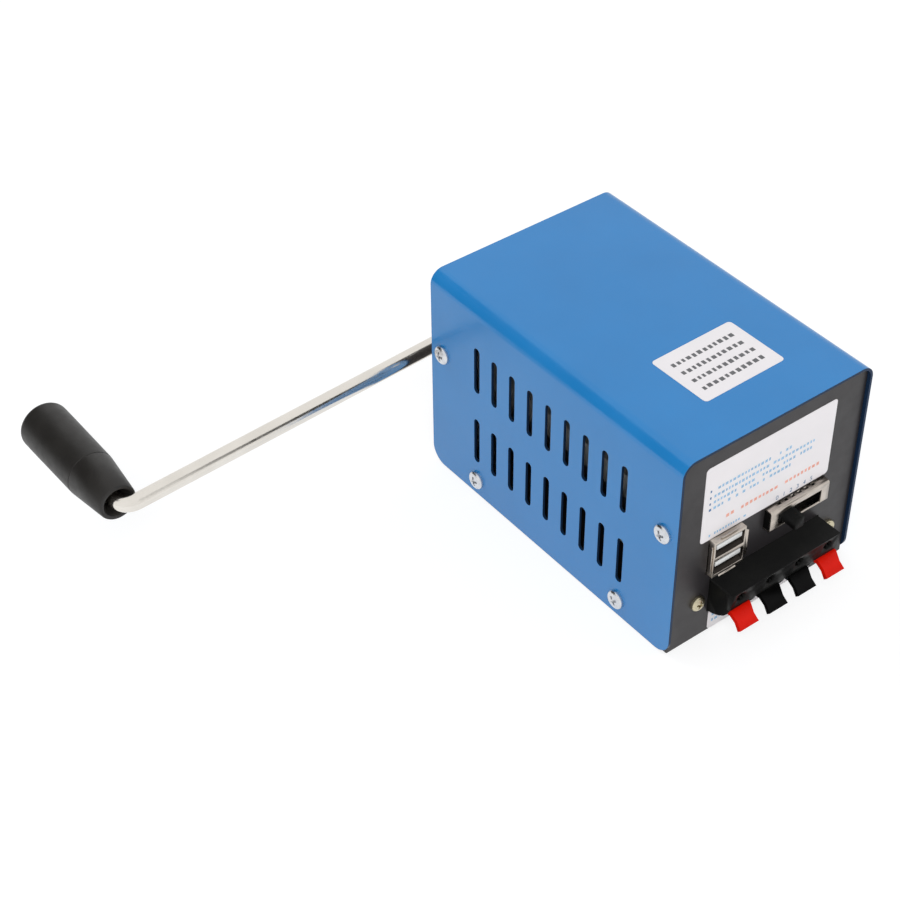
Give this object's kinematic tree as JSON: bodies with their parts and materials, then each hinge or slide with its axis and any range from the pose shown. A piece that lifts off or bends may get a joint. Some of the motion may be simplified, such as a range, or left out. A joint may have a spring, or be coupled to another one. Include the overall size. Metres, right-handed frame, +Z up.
{
  "type": "hand crank generator",
  "caption": "Small hand-cranked generator in a folded steel case, with a bent crank and spinning grip behind, and a slide switch, stacked sockets and push terminals in front.",
  "frame": {"origin": "middle of the flat base under the case, at the level it stands on", "axes": "+Z up, -Y out of the front with the sockets, +Y out of the rear with the crank, +X to the right seen from the front"},
  "size_m": [0.2137, 0.2104, 0.0839],
  "materials": {
    "cover_paint": "semi-gloss blue paint",
    "panel_coat": "satin black coat",
    "label": "white film label",
    "bright_screw": "nickel plated",
    "yellow_screw": "yellow zinc plated",
    "socket_metal": "nickel plated",
    "white_plastic": "moulded",
    "black_plastic": "moulded",
    "red_plastic": "moulded",
    "lever_black": "moulded",
    "rod_plate": "nickel plated",
    "grip_plastic": "moulded, satin",
    "steel": "turned",
    "plate_steel": "zinc plated",
    "brass": "turned",
    "nylon": "moulded",
    "can_steel": "zinc plated, drawn",
    "magnet": "sintered ferrite",
    "core_steel": "varnished laminations",
    "copper": "enamelled copper",
    "carbon": "carbon",
    "board": "green laminate",
    "sleeve": "shrunk sleeve",
    "chip_black": "moulded",
    "aluminium": "extruded",
    "choke": "wound ring",
    "lead": "insulated wire"
  },
  "bodies": {
    "case": {"cover": "cover_paint", "cover_screws": "bright_screw", "chassis": "panel_coat", "top_label": "label", "front_label": "label", "lower_label": "label", "usb_shell": "socket_metal", "usb_tongues": "white_plastic", "switch_frame": "socket_metal", "switch_base": "black_plastic", "switch_legs": "bright_screw", "terminal_housing": "black_plastic", "terminal_contacts": "brass", "lever_pivot_pin": "steel", "terminal_screws": "yellow_screw", "terminal_nuts": "yellow_screw", "circuit_board": "board", "board_standoffs": "plate_steel", "board_screws": "bright_screw", "filter_capacitors": "sleeve", "bridge_rectifier": "chip_black", "voltage_regulator": "chip_black", "heat_sink": "aluminium", "choke_coil": "choke", "gearbox_rear_plate": "plate_steel", "gearbox_front_plate": "plate_steel", "gearbox_pillars": "steel", "gearbox_screws": "bright_screw", "front_plate_screws": "bright_screw", "crank_rear_bush": "brass", "gear_frame_bushes": "brass", "generator_can": "can_steel", "generator_end_cap": "black_plastic", "generator_magnets": "magnet", "generator_bushes": "brass", "generator_screws": "bright_screw", "generator_tabs": "brass", "brush_holders": "brass", "brushes": "carbon", "generator_leads": "lead"},
    "crank": {"crank_rod": "rod_plate", "crank_shaft": "steel", "grub_screw": "steel", "drive_gear": "steel", "drive_gear_pin": "steel", "grip_washer": "steel"},
    "grip": {"grip_sleeve": "grip_plastic", "grip_plug": "grip_plastic"},
    "countershaft": {"countershaft": "steel", "second_gear": "nylon"},
    "rotor": {"rotor_shaft": "steel", "rotor_core": "core_steel", "rotor_windings": "copper", "commutator": "copper", "generator_pinion": "brass"},
    "switch_knob": {"switch_knob": "black_plastic"},
    "lever_red_left": {"lever_red_left": "red_plastic"},
    "lever_black_left": {"lever_black_left": "lever_black"},
    "lever_black_right": {"lever_black_right": "lever_black"},
    "lever_red_right": {"lever_red_right": "red_plastic"}
  },
  "joints": [
    {"name": "crank_turn", "type": "hinge", "parent": "case", "child": "crank", "pos_m": [0, 0.064, 0.0416], "axis": [0, 1, 0], "continuous": true},
    {"name": "grip_turn", "type": "hinge", "parent": "crank", "child": "grip", "pos_m": [-0.16128, 0.106, 0.03315], "axis": [0, 1, 0], "continuous": true},
    {"name": "countershaft_turn", "type": "hinge", "parent": "case", "child": "countershaft", "pos_m": [-0.01498, 0.05, 0.02221], "axis": [0, 1, 0], "continuous": true},
    {"name": "rotor_turn", "type": "hinge", "parent": "case", "child": "rotor", "pos_m": [0.003, 0.012, 0.0231], "axis": [0, 1, 0], "continuous": true},
    {"name": "switch_slide", "type": "slide", "parent": "case", "child": "switch_knob", "axis": [1, 0, 0], "range_m": [-0.00275, 0.01255]},
    {"name": "lever_red_left_press", "type": "hinge", "parent": "case", "child": "lever_red_left", "pos_m": [-0.0185, -0.06503, 0.019], "axis": [1, 0, 0], "range_deg": [0, 12], "stiffness_Nm_per_rad": 0.02, "springref_deg": -3.44},
    {"name": "lever_black_left_press", "type": "hinge", "parent": "case", "child": "lever_black_left", "pos_m": [-0.0053, -0.06503, 0.019], "axis": [1, 0, 0], "range_deg": [0, 12], "stiffness_Nm_per_rad": 0.02, "springref_deg": -3.44},
    {"name": "lever_black_right_press", "type": "hinge", "parent": "case", "child": "lever_black_right", "pos_m": [0.0079, -0.06503, 0.019], "axis": [1, 0, 0], "range_deg": [0, 12], "stiffness_Nm_per_rad": 0.02, "springref_deg": -3.44},
    {"name": "lever_red_right_press", "type": "hinge", "parent": "case", "child": "lever_red_right", "pos_m": [0.0211, -0.06503, 0.019], "axis": [1, 0, 0], "range_deg": [0, 12], "stiffness_Nm_per_rad": 0.02, "springref_deg": -3.44}
  ],
  "couplings": [
    {"joint": "countershaft_turn", "follows": "crank_turn", "ratio": -4},
    {"joint": "rotor_turn", "follows": "crank_turn", "ratio": 16}
  ]
}
